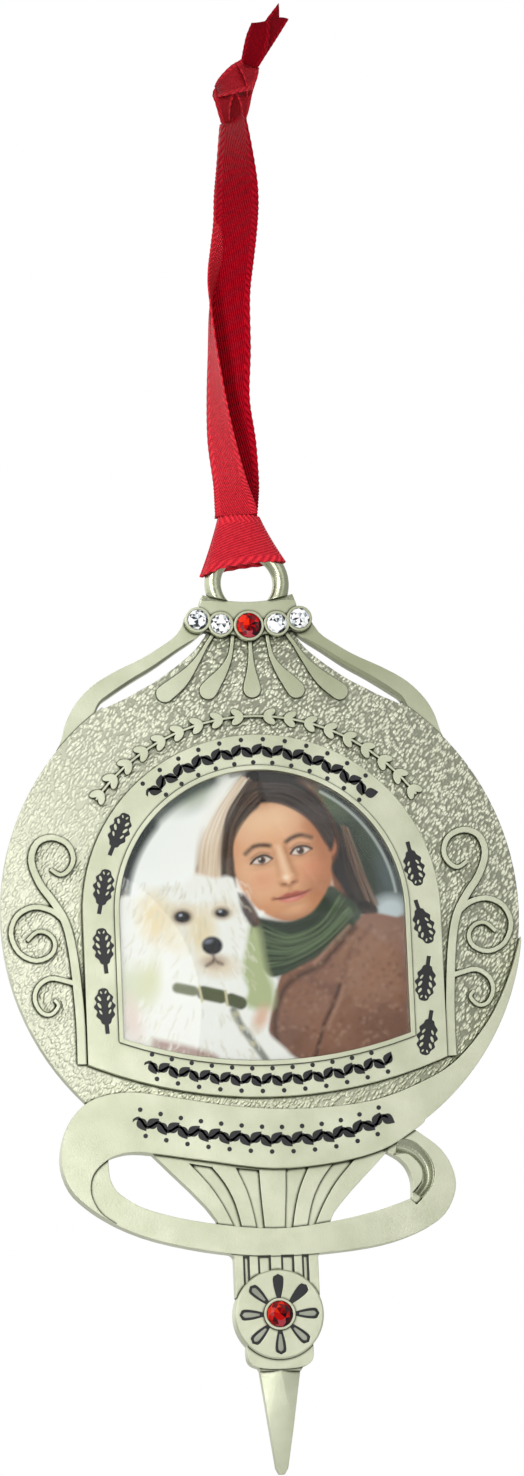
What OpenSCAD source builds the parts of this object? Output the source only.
// Hanging picture frame ornament: a cast metal bauble with an arched window for a small picture,
// cut stones, a swirling band, a fluted cup and a spike, hung from a satin ribbon.
// Modelled upright, front towards -Y, with the hanging point of the ribbon at the origin.

/* [Ball and back plate] */
// Diameter of the round pebbled ball
ball_d = 75.4; // [70:0.2:84]
// Thickness of the back plate behind the pebbled ground
plate_t = 2.0; // [1.9:0.1:2.6]
// Height of the raised scrolls over the pebbled ground
scroll_h = 0.6; // [0.4:0.1:1]

/* [Window frame] */
// Half width of the opening, which is also the radius of its arch
window_r = 20.8; // [19:0.1:21.5]
// Width of the raised bar round the opening
frame_bar_w = 5.2; // [4.4:0.1:5.4]
// Height of the raised bar over the pebbled ground
frame_h = 1.3; // [0.9:0.1:1.8]
// Width of the bead round the opening
bead_w = 0.65; // [0.4:0.05:0.9]
// Height of the bead over the bar
bead_h = 0.25; // [0.1:0.05:0.5]
// Drop from the centre of the ball to the lower corners of the opening
window_drop = 18; // [16:0.5:19]
// Sag of the curved sill between those corners
sill_sag = 3.6; // [2:0.2:4.4]
// Depth of the leaf recesses in the bar
leaf_depth = 0.35; // [0.2:0.05:0.6]
// Length of a leaf recess with its stem
leaf_len = 6.6; // [5.4:0.2:7.2]

/* [Picture pocket] */
// Width of the ledge that the window lens rests on
ledge_w = 1.1; // [0.8:0.1:1.3]
// Thickness of the metal lip in front of the ledge
lip_t = 1.0; // [0.8:0.1:1.2]
// Thickness of the rim of the window lens
lens_rim_t = 0.7; // [0.5:0.1:0.8]
// Rise of the domed face of the lens over its rim, at the middle
lens_rise = 1.5; // [1:0.1:2]
// Thickness of the paper print
print_t = 0.25; // [0.15:0.05:0.4]
// Thickness of the backing board
board_t = 0.75; // [0.5:0.05:0.9]
// Width of each bent tab
tab_w = 5; // [3:0.5:7]
// How far a tab reaches over the backing board
tab_reach = 1.8; // [1.2:0.1:3]
// Clearance round the pieces in the pocket
pocket_gap = 0.15; // [0.1:0.05:0.2]

/* [Collar and ring] */
// Half width of the collar at its upper corners
collar_half_w = 6.6; // [5.6:0.2:7.4]
// Height of the face of the collar over the back
collar_t = 2.9; // [2.7:0.1:4]
// Radius of the hanging ring, to the middle of its wire
ring_r = 5.0; // [4.4:0.1:5.4]
// Diameter of the wire of the hanging ring
ring_wire_d = 2.4; // [2:0.1:2.8]
// Diameter of the clear stones
crystal_d = 3.0; // [2.4:0.1:3.2]
// Diameter of the red stone in the collar
collar_stone_d = 3.7; // [3:0.1:4]
// Width of the metal bezel round a stone
bezel_w = 0.35; // [0.25:0.05:0.6]
// Height of the bezels over the face that carries them
bezel_h = 0.35; // [0.2:0.05:0.6]
// Depth of the seat under the girdle of a stone
stone_seat = 0.9; // [0.6:0.1:1.2]
// Height of the cut crown of a stone over its bezel
stone_crown = 0.45; // [0.3:0.05:0.7]

/* [Petals and shoulders] */
// Height of the petals over the pebbled ground
petal_h = 0.35; // [0.2:0.05:0.8]
// Half width of the round end of a petal
petal_r = 1.25; // [1:0.05:1.4]
// Height of the shoulder struts over the back
strut_t = 1.8; // [1.2:0.1:1.8]
// Height of the raised leaf garland over the pebbled ground
garland_h = 0.4; // [0.2:0.05:0.6]
// Length of a leaf of the garland
garland_leaf = 2.0; // [1.6:0.1:2.4]
// Width of the stem of the garland
garland_stem_w = 0.3; // [0.2:0.05:0.5]

/* [Band and cup] */
// Height of the front run of the band over the back
band_t = 3.5; // [3.2:0.1:4]
// Height of the lower run of the band over the back
low_band_t = 2.9; // [2.7:0.1:3.1]
// Height of the ribs of the cup over the back
cup_t = 2.4; // [2.2:0.1:2.6]
// Depth of the flutes between the ribs
flute_depth = 0.45; // [0.3:0.05:0.9]
// Depth of the hollow on the inner side of the right lobe
scoop_depth = 0.8; // [0.5:0.1:1]

/* [Neck, medallion and spike] */
// Half width of the neck
neck_half_w = 6.0; // [5.4:0.1:6.3]
// Height of the face of the neck over the back
neck_t = 2.7; // [2.5:0.1:2.9]
// Depth of the upright slots in the neck
slot_depth = 0.55; // [0.4:0.05:1]
// Diameter of the medallion
medallion_d = 12.8; // [12:0.2:14]
// Height of the face of the medallion over the back
medallion_t = 3.4; // [3.2:0.1:4.2]
// Diameter of the red stone in the medallion
medallion_stone_d = 3.8; // [3:0.1:4.2]
// Number of drop recesses round the medallion
drop_count = 8; // [6:1:10]
// Depth of the drop recesses
drop_depth = 0.5; // [0.3:0.1:0.8]
// Half width of the round end of a drop recess
drop_r = 0.78; // [0.5:0.02:0.9]
// How far the lip stands out below the medallion
lip_drop = 1.35; // [1:0.05:1.8]
// Length of the spike below the lip
spike_len = 15.4; // [12:0.2:18]
// Half width of the spike where it leaves the lip
spike_half_w = 2.9; // [2.4:0.1:3.2]
// Half width of the spike at its tip
tip_half_w = 0.85; // [0.5:0.05:1]
// Height of the ridge of the spike over the back, at its top
spike_t = 2.6; // [2.2:0.1:3]

/* [Ribbon] */
// Width of the ribbon
ribbon_w = 6.35; // [5.8:0.05:6.6]
// Thickness of the ribbon
ribbon_t = 0.4; // [0.3:0.05:0.5]
// Width of the hitch round the ring, along its lower edge
hitch_w = 12.2; // [11:0.2:13]
// Half of the thickness of the hitch from front to back
hitch_half_t = 2.2; // [1.8:0.1:2.6]
// Gap between the hitch and the wire of the ring
hitch_gap = 0.05; // [0.05:0.05:0.3]
// Back and front of the knot, over the back of the ornament
knot_back = 0.5; // [0.2:0.1:1]
knot_front = 5.6; // [4.5:0.1:6]
// Back and front of the two tails, over the back of the ornament
tail_back = 2.4; // [1.5:0.1:3]
tail_front = 3.9; // [3.2:0.1:5]

/* [Hidden] */

pewter = "#c9ceae";
round_fn = 96;
small_fn = 40;
eps = 0.01;
// Gap between flat faces that bear on each other
face_gap = 0.02;
// Rings of the domed window
dome_steps = 14;
ball_r = ball_d / 2;
// The artwork is drawn for a ball 75.4 across, and follows the ball when its size changes
art = ball_d / 75.4;
// Heights over the back plane
ground = plate_t;
frame_top = ground + frame_h;
frame_half = window_r + frame_bar_w;
sill_r = (window_r * window_r + sill_sag * sill_sag) / (2 * sill_sag);
pocket_top = frame_top - lip_t;
lens_back = pocket_top - lens_rim_t;
print_back = lens_back - print_t;
board_back = print_back - board_t;
// The collar, its stones, the ring and the struts stand a little left of the middle
crown_x = -0.2 * art;
collar_y = 42.15 * art;
stone_inner = [4.1 * art, 42.4 * art];
stone_outer = [7.45 * art, 43.1 * art];
// Ring
ring_y = 48.45 * art;
ring_mid = 2.5;
// Medallion, lip and spike
medallion_r = medallion_d / 2;
medallion_y = -51.6 * art - medallion_r;
lip_y = medallion_y - medallion_r - lip_drop;
spike_top_y = lip_y + 0.6;
// Thickness of the spike along its two side edges
spike_edge_t = 1.5;
tip_y = spike_top_y - spike_len;
// Hanging point, and its height over the back
hang_z = 115 * art;
loop_depth = ring_mid;
// The two strands of ribbon cross half way: x, height over the middle of the ball, depth over the back, turn
front_route = [[-1.4, 58.5, 3.6, 16], [-1.8, 61, 3.6, 36], [-2.3, 63.9, 3.6, 50], [-3.2, 69.8, 3.4, 60],
    [-3.65, 75.9, 3.2, 72], [-3.9, 83.1, 3.1, 86], [-3.95, 91, 3.0, 99], [-3.1, 94.5, 2.8, 114],
    [-1.4, 98.5, 2.6, 138], [0, 103, 2.5, 163], [0.6, 108, 2.5, 196], [0.65, 112, 2.5, 220],
    [0.5, 118.5, 2.5, 244]];
back_route = [[-1.2, 58.5, 1.3, 0], [-0.9, 61, 1.3, 2], [-0.7, 63.9, 1.3, 5], [-0.9, 69.8, 1.35, 12],
    [-1.35, 75.9, 1.7, 32], [-0.7, 83.1, 2.4, 44], [-0.5, 91, 3.1, 40], [-0.2, 96, 4.0, 31],
    [0.2, 101, 4.3, 18], [0.6, 105.8, 4.2, 14], [0.65, 112, 4.0, 42], [0.56, 118.5, 3.9, 66]];

// A smooth curve through the points, with n steps between each two
function tug(a, b, c, d, t) = 0.5 * ((2 * b) + (c - a) * t + (2 * a - 5 * b + 4 * c - d) * t * t
    + (3 * b - a - 3 * c + d) * t * t * t);
function smooth(p, n = 5) = concat([for (i = [0 : len(p) - 2]) for (j = [0 : n - 1])
    tug(p[max(i - 1, 0)], p[i], p[i + 1], p[min(i + 2, len(p) - 1)], j / n)], [p[len(p) - 1]]);
function side(p, i) = let (d = p[min(i + 1, len(p) - 1)] - p[max(i - 1, 0)]) [-d[1], d[0]] / norm(d);
function share(i, p) = i / (len(p) - 1);
// The outline of a line that is w0 wide at its start and w1 at its end
function stroke(p, w0, w1) = concat(
    [for (i = [0 : len(p) - 1]) p[i] + side(p, i) * (w0 + (w1 - w0) * share(i, p)) / 2],
    [for (i = [len(p) - 1 : -1 : 0]) p[i] - side(p, i) * (w0 + (w1 - w0) * share(i, p)) / 2]);
// The outline of a drop along a curve: a point at its start, r at its round end
drop_neck = 0.36;
function drop_half(t, r) = r * (t < 0.8 ? drop_neck + (1 - drop_neck) * sin(90 * t / 0.8)
    : sqrt(max(0, 1 - pow((t - 0.8) / 0.2, 2))));
function drop(p, r) = concat(
    [for (i = [0 : len(p) - 1]) p[i] + side(p, i) * drop_half(share(i, p), r)],
    [for (i = [len(p) - 2 : -1 : 0]) p[i] - side(p, i) * drop_half(share(i, p), r)]);
function sized(p) = [for (q = p) q * art];
function arc(c, r, a0, a1, n) = [for (i = [0 : n]) let (a = a0 + (a1 - a0) * i / n) c + r * [cos(a), sin(a)]];

// Carries the flat drawing of the front to its upright place
module upright() translate([0, loop_depth, -hang_z]) rotate([90, 0, 0]) children();
module raised(h, from = 0) translate([0, 0, from]) linear_extrude(h - from) children();
module both() { children(); mirror([1, 0, 0]) children(); }

// The arched shape of the window, grown by g all round
module arch(g) {
    r = window_r + g;
    a = asin(r / (sill_r + g));
    sill_c = [0, -window_drop - sill_sag + sill_r];
    corner_y = sill_c[1] - (sill_r + g) * cos(a);
    polygon(concat(arc([0, 0], r, 0, 180, 48), [[-r, corner_y]],
        arc(sill_c, sill_r + g, 270 - a + 1, 270 + a - 1, 16), [[r, corner_y]]));
}

// Edge of the fan between the collar and the ball, and the free edge of the shoulder strut
fan_edge = sized(smooth([[6.3, 41.3], [8, 39.0], [9.7, 37.45], [11.5, 36.05], [14, 34.3], [16.3, 33.05],
    [18.5, 31.85], [20.3, 31.05], [21.7, 30.4]], 3));
strut_out = sized(smooth([[8.6, 44.4], [10.4, 41.3], [12.8, 39.5], [15.6, 37.8], [19.2, 36.1], [22.4, 34.3],
    [24.5, 32.5], [26, 30.6], [27, 28.6], [27.7, 26.2], [28.6, 24.4]], 3));
strut_in = sized(smooth([[24, 24], [23.4, 28], [22.2, 30.9], [20.6, 32.2], [17.3, 34.35], [14, 36.3],
    [10.7, 38.6], [8, 40.4], [6.4, 41.8]], 3));

// The pebbled ground: the ball, cut back along the two gaps under the struts, and the fan above it
module ground_outline() {
    difference() {
        circle(r = ball_r, $fn = round_fn);
        both() polygon(concat(fan_edge, sized([[23.2, 31.6], [16, 38], [8, 44]])));
    }
    both() polygon(concat([[0, 42 * art]], fan_edge, [[20 * art, 26 * art], [0, 26 * art]]));
}

module strut() polygon(concat(strut_out, strut_in));

module collar_outline() {
    translate([crown_x, 0]) polygon(concat(
        smooth([[-collar_half_w, 46.8 * art], [-3.6, 46 * art], [0, 45.7 * art], [3.6, 46 * art],
            [collar_half_w, 46.8 * art]], 4),
        [[collar_half_w + 0.5, 45.3 * art], [7.4, 42.2 * art], [4.6, 40.9 * art], [2.6, 41.0 * art],
         [0, 40.4 * art], [-2.6, 41.0 * art], [-4.6, 40.9 * art], [-7.4, 42.2 * art],
         [-collar_half_w - 0.5, 45.3 * art]]));
}

// Five petals that spread from under the stones: low drops with a round end
petal_lines = [
    [[0, 41.4], [0, 39.4], [0, 37.4], [0, 35.4], [0, 34], [0, 32.9]],
    [[2.45, 41.4], [2.75, 39.2], [3.2, 37.4], [4.2, 35.6], [5.5, 33.95], [6.45, 32.75]],
    [[5.3, 41.2], [6.4, 39.6], [7.5, 37.8], [8.9, 35.9], [10.5, 34.2], [12.8, 32.4]]];
petal_waist = 0.2;
petal_steps = 4;
function petal_half(t) = petal_r * (petal_waist + (1 - petal_waist) * pow(sin(90 * t), 4));
module petal(line) {
    last = len(line) - 1;
    polygon(concat([for (i = [0 : last]) line[i] + side(line, i) * petal_half(share(i, line))],
        [for (i = [last : -1 : 0]) line[i] - side(line, i) * petal_half(share(i, line))]));
    translate(line[last]) circle(r = petal_r, $fn = small_fn);
}

module petals() for (i = [0 : 2]) {
    line = sized(smooth(petal_lines[i], petal_steps));
    petal(line);
    if (i > 0) mirror([1, 0, 0]) petal(line);
}

// A raised garland of leaves that follows the arch over the window, on the pebbled ground
garland_r = 28.9 * art;
garland_step = 6;
garland_lean = 32;
garland_leaf_w = 0.26;
module garland_leaf_shape() polygon([for (t = [0 : 30 : 330])
    garland_leaf * [0.5 + 0.5 * cos(t), garland_leaf_w * sin(t)]]);
module garland() {
    polygon(stroke(arc([0, 0], garland_r, 36, 144, 36), garland_stem_w, garland_stem_w));
    both() for (i = [0 : 8]) rotate(-garland_step * (i + 0.5)) translate([0, garland_r])
        for (lean = [-garland_lean, garland_lean]) rotate(lean) garland_leaf_shape();
}

module bezel(p, d, top) translate([p[0], p[1], 0]) cylinder(r = d / 2 + bezel_w, h = top, $fn = small_fn);
module seat(p, d, top) translate([p[0], p[1], top - stone_seat])
    cylinder(r = d / 2, h = stone_seat + eps, $fn = small_fn);

collar_bezel_top = collar_t + bezel_h;
medallion_bezel_top = medallion_t + bezel_h;
collar_places = [[-stone_outer[0], stone_outer[1]], [-stone_inner[0], stone_inner[1]], [0, collar_y],
    stone_inner, stone_outer];
collar_seats = [for (p = collar_places) p + [crown_x, 0]];
collar_sizes = [crystal_d, crystal_d, collar_stone_d, crystal_d, crystal_d];

// One side's scrolls: a stem beside the window frame, a hook and two curls
stem_line = [[-26.8, -21.4], [-26.8, -16], [-27.1, -10.5], [-27.6, -5], [-28.5, -0.8], [-30.2, 2.3],
    [-32, 4.9], [-33.1, 8.2], [-32.2, 10.8], [-30, 11.6], [-27.8, 10.6], [-27, 8.5], [-27.7, 6.8],
    [-29, 6.1], [-30.4, 7.0]];
curl_line = [[-28.6, -0.6], [-30.4, 0.9], [-33, 1.5], [-35.4, 0.3], [-36.4, -2.3], [-35.3, -5.1],
    [-32.9, -6.3], [-30.7, -5.5], [-30.1, -3.8], [-31, -2.4], [-32.6, -2.1], [-34.1, -3.4]];
branch_line = [[-27.2, -9.8], [-28.8, -9.3], [-31, -8.9], [-32.8, -10.1], [-33.3, -12], [-32.4, -13.8],
    [-31, -14.1], [-29.9, -12.9], [-30.5, -12]];

module scrolls() {
    raised(ground + scroll_h) {
        polygon(stroke(sized(smooth(stem_line, 3)), 1.35, 0.5));
        polygon(stroke(sized(smooth(curl_line, 3)), 0.75, 0.5));
        polygon(stroke(sized(smooth(branch_line, 3)), 0.7, 0.45));
    }
}

// The front run of the band, from its point on the ball's right edge to the end of the left lobe
band_upper = [[37.5, -4.4], [36.2, -8.6], [34.4, -12.8], [31.8, -17.2], [27.6, -21.9], [23, -24.8],
    [15, -27.7], [5, -28.65], [-5, -28.1], [-14, -26.6], [-20.5, -25.7], [-25.9, -26.8], [-29.1, -30],
    [-30.4, -35], [-29.2, -39.4], [-26.1, -42.5], [-22.8, -44.6]];
band_inner = [[-22.8, -44.6], [-25.1, -42.8], [-26.3, -40.2], [-26, -37.6], [-24.3, -35.7],
    [-22, -34.6], [-18.5, -34.4], [-10, -35.7], [0, -37.1], [9, -36.5], [16, -34.8], [20.4, -32.3],
    [22.1, -31.1]];

module front_band() polygon(concat(sized(smooth(band_upper, 4)), sized(smooth(band_inner, 4)),
    arc([0, 0], ball_r + 0.2, -54, -7.5, 24)));

// The lower run of the band, with its right lobe curling up behind the front run
low_upper = [[-23.6, -34.7], [-23.6, -36.5], [-23.3, -38.4], [-22, -40.3], [-18, -42.6], [-10, -44.6],
    [0, -45.7], [8.3, -44.9], [15, -43.5], [20.1, -41.8]];
low_lower = [[21.2, -32.3], [24.5, -35], [26.2, -38.3], [26.1, -41.6], [23.6, -45.2], [17.2, -47.95],
    [9, -49.2], [-1, -49.6], [-10, -48.6], [-19, -46.3], [-25.5, -42.8], [-28.2, -38.4]];
low_lobe = [[20.1, -41.8], [20.2, -39.5], [19.6, -37.5], [18.4, -36.1], [16.4, -34.9]];

module low_band() polygon(concat(sized(smooth(low_upper, 4)), sized(smooth(low_lobe, 3)),
    [[19 * art, -31 * art]], sized(smooth(low_lower, 4)), [[-27 * art, -34 * art]]));

// The hollow on the inner side of the right lobe
scoop_line = [[16.5, -34.7], [19.4, -34.4], [21.1, -35.4], [22.4, -37.4], [22.2, -39.8], [20, -42.3]];
module scoop() polygon(stroke(sized(smooth(scoop_line, 4)), 2.2, 1.6));

// Cup: outer walls, and the flutes between its ribs
cup_wall = [[18, -33.7], [14.7, -37.1], [11.9, -39.9], [9.7, -42.3], [8.3, -44.2], [7.6, -46.6]];
module cup_outline() polygon(concat(sized(smooth(cup_wall, 3)),
    [for (i = [len(cup_wall) - 1 : -1 : 0]) [-cup_wall[i][0], cup_wall[i][1]] * art]));
flute_sides = [
    [[[1.9, -37.2], [1.8, -40], [1.6, -43], [1.4, -45.9]],
     [[2.6, -45.9], [3.1, -43], [3.9, -40], [5.3, -36.8]]],
    [[[8.7, -36.6], [6.9, -39], [5.5, -42], [4.6, -45.8]],
     [[5.7, -45.7], [7.2, -42.4], [9.2, -39.2], [12, -36]]]];
module flutes() both() for (f = flute_sides) polygon(concat(sized(smooth(f[0], 3)), sized(smooth(f[1], 3))));

neck_fillet = 0.9;
neck_fillet_y = -50 * art;
module neck_outline() {
    w = neck_half_w;
    top = -47.5 * art;
    polygon([[-w, top], [-w, medallion_y + 2.6], [w, medallion_y + 2.6], [w, top]]);
    both() difference() {
        translate([w - eps, neck_fillet_y]) square([neck_fillet + eps, 2 * neck_fillet]);
        translate([w + neck_fillet, neck_fillet_y]) circle(r = neck_fillet, $fn = small_fn);
    }
}
// The upright slots: middle, width and length of each
neck_slots = [[-4.35, 0.95, 4.2], [-1.75, 1.9, 2.8], [1.6, 1.9, 2.8], [4.15, 1, 4.2]];
module neck_recesses() for (s = neck_slots)
    translate([s[0] - s[1] / 2, -49.5 * art - s[2]]) square([s[1], s[2]]);

// Medallion with a lip below it
medallion_edge = 0.2;
drop_in = medallion_stone_d / 2 + bezel_w;
drop_out = medallion_r - 0.65;
module drops() for (i = [0 : drop_count - 1]) translate([0, medallion_y]) rotate(90 + i * 360 / drop_count)
    polygon(drop([for (j = [0 : 10]) [drop_in + (drop_out - drop_in) * j / 10, 0]], drop_r));
lip_side = [[4.7, 0], [4.65, 1.45], [3.3, 0.3]];
lip_half = concat([[lip_side[0][0], medallion_y - 3.6]], [for (i = [1, 2]) lip_side[i] + [0, lip_y]]);
module lip_outline() polygon(smooth(concat([for (q = lip_half) [-q[0], q[1]]], [[0, lip_y]],
    [for (i = [2 : -1 : 0]) lip_half[i]]), 4));

// Spike with a ridge down its middle; its front falls back towards the tip
spike_side = [[1.2, 1.5], [0, -0.8]];
spike_lean = -1.1;
module spike() translate([0, spike_top_y, 0]) rotate(spike_lean) translate([0, -spike_top_y, 0]) {
    w = spike_half_w;
    slope = atan((spike_t - spike_edge_t) / w);
    half = [[w + spike_side[0][0], spike_top_y + spike_side[0][1]], [w, spike_top_y + spike_side[1][1]],
        [tip_half_w, tip_y + tip_half_w], [tip_half_w * 0.45, tip_y]];
    difference() {
        raised(spike_t) both()
            polygon(concat([[-eps, spike_top_y + spike_side[0][1]]], half, [[-eps, tip_y]]));
        both() translate([0, tip_y - 1, spike_t]) rotate([0, slope, 0])
            cube([2 * w, spike_top_y - tip_y + 0.2, spike_t]);
        translate([-w, spike_top_y, spike_t]) rotate([atan((spike_t - spike_edge_t) / spike_len), 0, 0])
            translate([0, -spike_len * 1.2, 0]) cube([2 * w, spike_len * 1.2, spike_t]);
    }
}

// One leaf recess with its stem: a lobed blade, stem towards -Y
function leaf_half(t) = leaf_len * (t < 0.2 ? 0.045
    : 0.045 + 0.195 * pow(sin(180 * (t - 0.2) / 0.8), 0.6) * (0.85 + 0.15 * cos(1440 * (t - 0.2) / 0.8)));
module leaf() {
    n = 40;
    polygon(concat([for (i = [0 : n]) [leaf_half(i / n), leaf_len * (i / n - 0.5)]],
        [for (i = [n : -1 : 0]) [-leaf_half(i / n), leaf_len * (i / n - 0.5)]]));
}
// Each leaf: its middle, measured from the outer edge of the bar, and its turn
leaves = [[1, -20.5, 11.7, -24], [1, -23, 3.4, -12], [1, -23.2, -5.2, 5], [1, -23.3, -13.9, 4],
    [-1, 22.3, 6.6, 192], [-1, 23.3, -1.9, 196], [-1, 23.4, -10.2, 170], [-1, 23.3, -18.1, 168]];
module leaf_set() for (l = leaves) {
    shift = l[1] > 0 ? frame_half - 26 : 26 - frame_half;
    translate([l[1] + shift, l[2]]) rotate(l[3]) leaf();
}

// The pocket behind the window, with four bent tabs left standing over the board
module pocket() difference() {
    raised(pocket_top, -eps) arch(ledge_w + pocket_gap);
    tabs();
}
// Each tab: its side, and its height over the middle of the ball
tab_places = [[-1, -9], [1, -9], [-1, 7], [1, 7]];
module tabs() {
    reach = window_r + ledge_w + pocket_gap;
    high = board_back - pocket_gap;
    for (t = tab_places) translate([t[0] * (reach + 0.5 - tab_reach / 2), t[1], high / 2 - eps])
        cube([tab_reach + 1, tab_w, high + 2 * eps], center = true);
}

module ring(wire) translate([crown_x, ring_y, ring_mid])
    rotate_extrude($fn = round_fn) translate([ring_r, 0]) circle(d = wire, $fn = small_fn);

module medallion() {
    side_h = medallion_t - medallion_edge;
    cylinder(r = medallion_r, h = side_h, $fn = round_fn);
    translate([0, 0, side_h - eps])
        cylinder(r1 = medallion_r, r2 = medallion_r - medallion_edge, h = medallion_edge + eps, $fn = round_fn);
}

module casting_solids() {
    raised(ground) ground_outline();
    translate([crown_x, 0, 0]) both() raised(strut_t) strut();
    raised(collar_t) collar_outline();
    raised(ground + petal_h) petals();
    raised(ground + garland_h) garland();
    both() scrolls();
    raised(frame_top) arch(frame_bar_w);
    raised(frame_top + bead_h) difference() { arch(bead_w); arch(0); }
    raised(band_t) front_band();
    raised(low_band_t) low_band();
    raised(cup_t) cup_outline();
    raised(neck_t) neck_outline();
    raised(low_band_t) lip_outline();
    spike();
    translate([0, medallion_y, 0]) medallion();
    // The foot of the ring sinks into the collar and stays below its face
    difference() {
        ring(ring_wire_d);
        raised(ring_mid + ring_wire_d, collar_t) collar_outline();
    }
    for (i = [0 : 4]) bezel(collar_seats[i], collar_sizes[i], collar_bezel_top);
    bezel([0, medallion_y], medallion_stone_d, medallion_bezel_top);
}

module cast_frame() color(pewter) upright() difference() {
    casting_solids();
    raised(frame_top + 1, -1) arch(0);
    pocket();
    for (i = [0 : 4]) seat(collar_seats[i], collar_sizes[i], collar_bezel_top);
    seat([0, medallion_y], medallion_stone_d, medallion_bezel_top);
    translate([0, 0, frame_top - leaf_depth]) linear_extrude(1) leaf_set();
    translate([0, 0, cup_t - flute_depth]) linear_extrude(flute_depth + eps) flutes();
    translate([0, 0, neck_t - slot_depth]) linear_extrude(1) neck_recesses();
    translate([0, 0, medallion_t - drop_depth]) linear_extrude(1) drops();
    translate([0, 0, low_band_t - scoop_depth]) linear_extrude(1) difference() {
        intersection() { scoop(); low_band(); }
        front_band();
    }
}

// A cut stone: a girdle in its seat, a crown with a flat table
module stone(p, d, top, tint) color(tint) upright() translate([p[0], p[1], top - stone_seat]) {
    cylinder(d = d - 0.04, h = stone_seat + 0.1, $fn = small_fn);
    translate([0, 0, stone_seat + 0.1])
        cylinder(d1 = d - 0.04, d2 = d * 0.56, h = stone_crown, $fn = small_fn);
}
module collar_stone(i, tint) stone(collar_seats[i], collar_sizes[i], collar_bezel_top, tint);
module crystal_left_outer() collar_stone(0, "#e8eef0");
module crystal_left_inner() collar_stone(1, "#e8eef0");
module red_stone_collar() collar_stone(2, "#c00a14");
module crystal_right_inner() collar_stone(3, "#e8eef0");
module crystal_right_outer() collar_stone(4, "#e8eef0");
module red_stone_medallion() stone([0, medallion_y], medallion_stone_d, medallion_bezel_top, "#c00a14");

// Clear window: a rim behind the metal lip, and a domed face in the opening
module window_lens() color([0.85, 0.92, 0.95, 0.4]) upright() {
    reach = window_drop + sill_sag + window_r * 0.5;
    raised(pocket_top - face_gap, lens_back) arch(ledge_w);
    intersection() {
        raised(frame_top + lens_rise, lens_back) arch(-pocket_gap);
        translate([0, 0, lens_back]) rotate_extrude($fn = round_fn) polygon(concat(
            [for (i = [0 : dome_steps])
                [reach * i / dome_steps, lens_rim_t + lens_rise * cos(90 * i / dome_steps)]],
            [[reach, 0], [0, 0]]));
    }
}
module photo_print() color("#b9b2a0") upright() raised(lens_back, print_back) arch(ledge_w);
module backing_board() color("#26262a") upright() raised(print_back, board_back) arch(ledge_w);

// A plain strip along a route, turned about it: w wide, t thick, four corners at each of its rings
function turned(c, a) = [c[0] * cos(a) - c[1] * sin(a), 0, c[0] * sin(a) + c[1] * cos(a)];
module strip(route, w, t) {
    n = len(route);
    corners = [[-w, -t], [w, -t], [w, t], [-w, t]] / 2;
    polyhedron(
        points = [for (p = route) for (c = corners) [p[0] * art, p[1] * art, p[2]] + turned(c, p[3])],
        faces = concat([[3, 2, 1, 0]], [for (i = [0 : n - 2]) for (j = [0 : 3]) let (k = (j + 1) % 4)
            each [[4 * i + j, 4 * i + k, 4 * i + 4 + k], [4 * i + j, 4 * i + 4 + k, 4 * i + 4 + j]]],
            [[4 * n - 4, 4 * n - 3, 4 * n - 2, 4 * n - 1]]));
}
module ribbon_front_strand() color("#c8202f") upright() strip(smooth(front_route, 3), ribbon_w, ribbon_t);
module ribbon_back_strand() color("#a0101f") upright() strip(smooth(back_route, 3), ribbon_w, ribbon_t);

// The hitch: the ribbon's bight folded round the top of the ring
hitch_line = [[-7.1, 49.4], [-3.2, 50.3], [-0.2, 50.8], [1.8, 51.0], [5.2, 51.3], [4.3, 53.9], [2.2, 58.3],
    [-4.1, 58.3]];
module hitch_outline() polygon([for (q = hitch_line) [q[0] * hitch_w / 12.2, q[1] * art]]);
module ribbon_hitch() color("#b81828") upright() difference() {
    raised(ring_mid + hitch_half_t, ring_mid - hitch_half_t) hitch_outline();
    ring(ring_wire_d + 2 * hitch_gap);
}

// The knot with its two tails, cut to a point and a notch
knot_line = [[-1.0, 118.7], [-1.55, 121.6], [-2.1, 122.9], [-1.35, 124.8], [0.7, 126.8], [2.5, 127.6],
    [4.2, 126.6], [4.4, 125.2], [3.4, 122.9], [3.2, 120.9], [2.45, 118.7]];
tail_line = [[1.9, 126.9], [2.25, 129.7], [3.7, 133.3], [5.65, 133.5], [7.7, 135.9], [8.25, 133.3],
    [9.2, 133.4], [7.2, 129.5], [4.5, 125.6]];
module ribbon_knot() color("#c8202f") upright() {
    raised(knot_front, knot_back) polygon(sized(smooth(knot_line, 2)));
    raised(tail_front, tail_back) polygon(sized(tail_line));
}

cast_frame();
crystal_left_outer();
crystal_left_inner();
red_stone_collar();
crystal_right_inner();
crystal_right_outer();
red_stone_medallion();
window_lens();
photo_print();
backing_board();
ribbon_front_strand();
ribbon_back_strand();
ribbon_hitch();
ribbon_knot();
